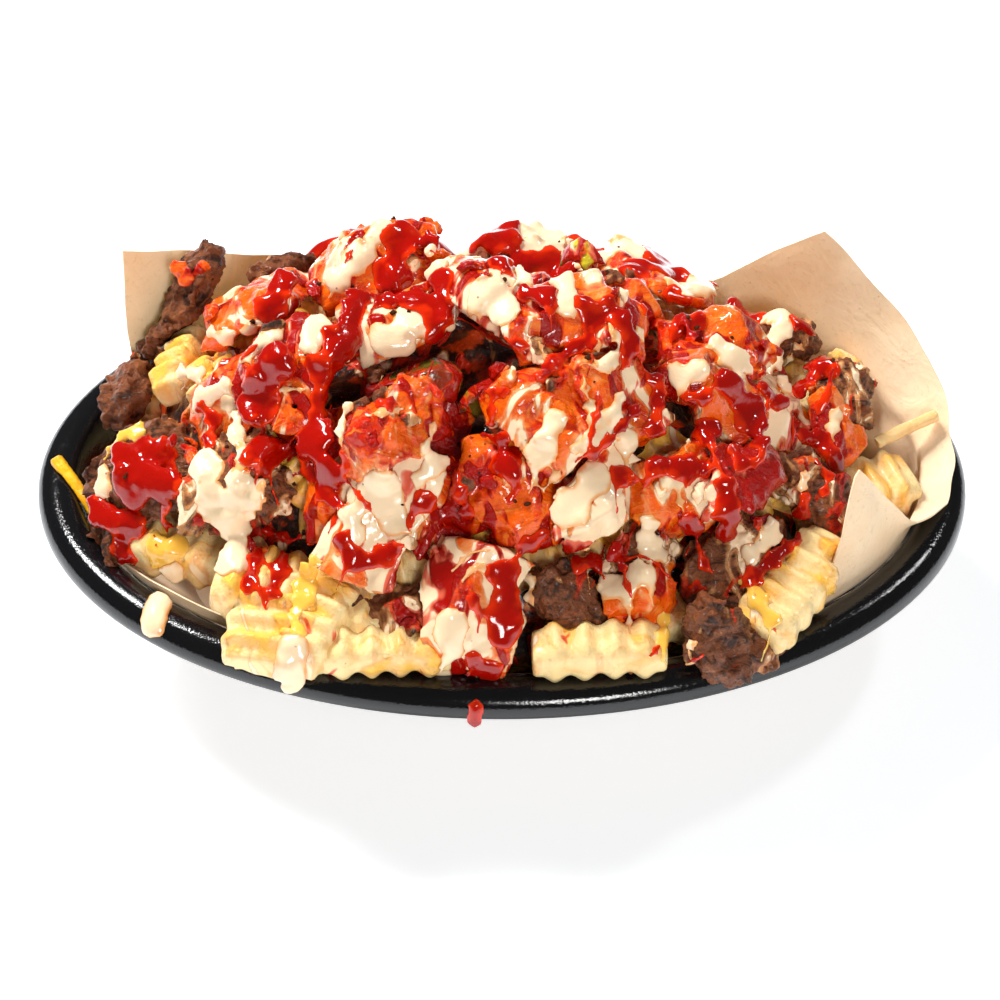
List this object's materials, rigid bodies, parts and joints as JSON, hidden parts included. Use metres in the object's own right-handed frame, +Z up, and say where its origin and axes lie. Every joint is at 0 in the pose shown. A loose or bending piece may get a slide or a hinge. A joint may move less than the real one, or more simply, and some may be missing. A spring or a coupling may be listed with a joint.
{
  "type": "loaded fries in a basket",
  "caption": "Oval openwork plastic food basket with a paper liner, heaped with crinkle-cut fries under kimchi leaves, sliced beef, green chilli and thick sauce.",
  "frame": {"origin": "middle of the basket's underside, on the surface it stands on", "axes": "+X along the oval's long side, towards the end with the folded paper; +Y towards the back; +Z up"},
  "size_m": [0.24, 0.156, 0.1045],
  "materials": {
    "basket": "glossy black",
    "liner": "matt, unbleached",
    "fries": "fried potato, satin",
    "beef": "cooked meat, moist",
    "kimchi": "wet, coated in sauce",
    "chilli": "moist green",
    "cheese": "satin yellow"
  },
  "bodies": {
    "root": {"basket": "basket", "liner": "liner", "fries": "fries", "beef_left_end": "beef", "beef_left_rim": "beef", "beef_back_strip": "beef", "beef_left_bed": "beef", "beef_front_bed": "beef", "beef_front_chunk": "beef", "beef_front_bit": "beef", "beef_front_rim": "beef", "beef_right_bed": "beef", "beef_centre_bed": "beef", "beef_right_lump": "beef", "beef_right_back": "beef", "beef_back_right": "beef", "beef_back_left": "beef", "beef_rear_bed": "beef", "kimchi_left_outer": "kimchi", "kimchi_left_back": "kimchi", "kimchi_rear_left": "kimchi", "kimchi_rear_right": "kimchi", "kimchi_front_heap": "kimchi", "kimchi_front_right": "kimchi", "kimchi_right_under": "kimchi", "kimchi_front_red": "kimchi", "kimchi_left_red": "kimchi", "kimchi_right_pink": "kimchi", "kimchi_right_end": "kimchi", "kimchi_back_red": "kimchi", "kimchi_stem": "kimchi", "kimchi_front_flap": "kimchi", "kimchi_front_pale": "kimchi", "kimchi_left_inner": "kimchi", "kimchi_right_mid": "kimchi", "kimchi_right_low": "kimchi", "kimchi_right_top": "kimchi", "kimchi_back_right": "kimchi", "kimchi_mid_cream": "kimchi", "kimchi_orange_low": "kimchi", "kimchi_rough": "kimchi", "kimchi_peak_pale": "kimchi", "kimchi_orange_top": "kimchi", "kimchi_crown": "kimchi", "chilli_centre": "chilli", "chilli_strip": "chilli", "chilli_back": "chilli", "cheese_shred_left": "cheese", "cheese_shred_right": "cheese"}
  },
  "joints": []
}
